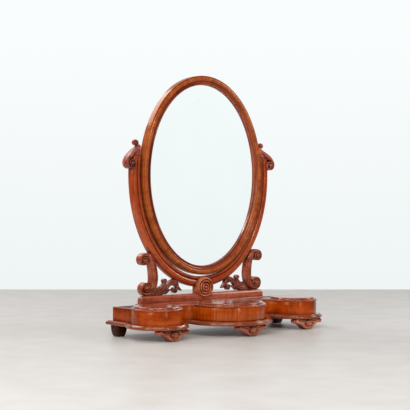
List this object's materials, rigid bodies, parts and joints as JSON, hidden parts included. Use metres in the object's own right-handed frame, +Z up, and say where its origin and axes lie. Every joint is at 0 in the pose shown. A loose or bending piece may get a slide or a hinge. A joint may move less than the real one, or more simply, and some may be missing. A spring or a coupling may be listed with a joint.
{
  "type": "toilet mirror with drawer",
  "caption": "Oval mirror hung in a carved yoke on a bowed three-part wooden base with a drawer and two lidded trinket wells",
  "frame": {"origin": "Centre of the bounding box on the floor", "axes": "+Z up; +X to the right as seen from the front; the front faces -Y"},
  "size_m": [0.76, 0.324, 0.8445],
  "materials": {
    "mahogany": "french polished mahogany",
    "veneer": "french polished flame veneer",
    "carved_mahogany": "carved and polished, darker in the hollows",
    "dark_wood": "stained wood without polish",
    "pine": "planed pine, unfinished and aged",
    "lining": "cup covered with velvet",
    "brass": "dull brass",
    "mirror": "silvered glass"
  },
  "bodies": {
    "base": {"plinth": "mahogany", "back_board": "dark_wood", "left_end_panel": "veneer", "right_end_panel": "veneer", "left_front": "veneer", "right_front": "veneer", "left_top_board": "mahogany", "right_top_board": "mahogany", "left_partition": "pine", "right_partition": "pine", "drawer_runners": "pine", "drawer_stops": "pine", "left_well_cup": "lining", "right_well_cup": "lining", "centre_top": "mahogany", "left_hinge_fixed_leaf": "brass", "right_hinge_fixed_leaf": "brass", "left_hinge_pin": "brass", "right_hinge_pin": "brass", "fixed_leaf_screws": "brass", "bolster_board": "mahogany", "bolster_screws": "brass", "rail": "mahogany", "centre_block": "mahogany", "roundel": "mahogany", "left_arm": "mahogany", "right_arm": "mahogany", "left_finial": "carved_mahogany", "right_finial": "carved_mahogany", "left_scroll": "carved_mahogany", "right_scroll": "carved_mahogany", "left_leaf_fret": "carved_mahogany", "right_leaf_fret": "carved_mahogany", "left_pivot_pin": "brass", "right_pivot_pin": "brass", "left_front_foot": "carved_mahogany", "centre_front_foot": "carved_mahogany", "right_front_foot": "carved_mahogany", "left_rear_foot": "dark_wood", "right_rear_foot": "dark_wood", "foot_screws": "brass"},
    "mirror": {"mirror_frame": "mahogany", "mirror_glass": "mirror", "glazing_blocks": "pine", "backboard": "pine", "backboard_screws": "brass", "left_pivot_bush": "brass", "right_pivot_bush": "brass"},
    "left_lid": {"left_lid": "mahogany", "left_hinge_lid_leaf": "brass", "left_lid_screws": "brass"},
    "right_lid": {"right_lid": "mahogany", "right_hinge_lid_leaf": "brass", "right_lid_screws": "brass"},
    "drawer": {"drawer_front": "veneer", "drawer_left_side": "pine", "drawer_right_side": "pine", "drawer_back": "pine", "drawer_bottom": "pine"}
  },
  "joints": [
    {"name": "mirror_tilt", "type": "hinge", "parent": "base", "child": "mirror", "pos_m": [0, 0.123, 0.55043], "axis": [1, 0, 0], "range_deg": [-30, 35]},
    {"name": "left_lid_hinge", "type": "hinge", "parent": "base", "child": "left_lid", "pos_m": [-0.283, 0.0638, 0.0952], "axis": [-1, 0, 0], "range_deg": [0, 95]},
    {"name": "right_lid_hinge", "type": "hinge", "parent": "base", "child": "right_lid", "pos_m": [0.283, 0.0638, 0.0952], "axis": [-1, 0, 0], "range_deg": [0, 95]},
    {"name": "drawer_slide", "type": "slide", "parent": "base", "child": "drawer", "axis": [0, -1, 0], "range_m": [0, 0.11]}
  ]
}
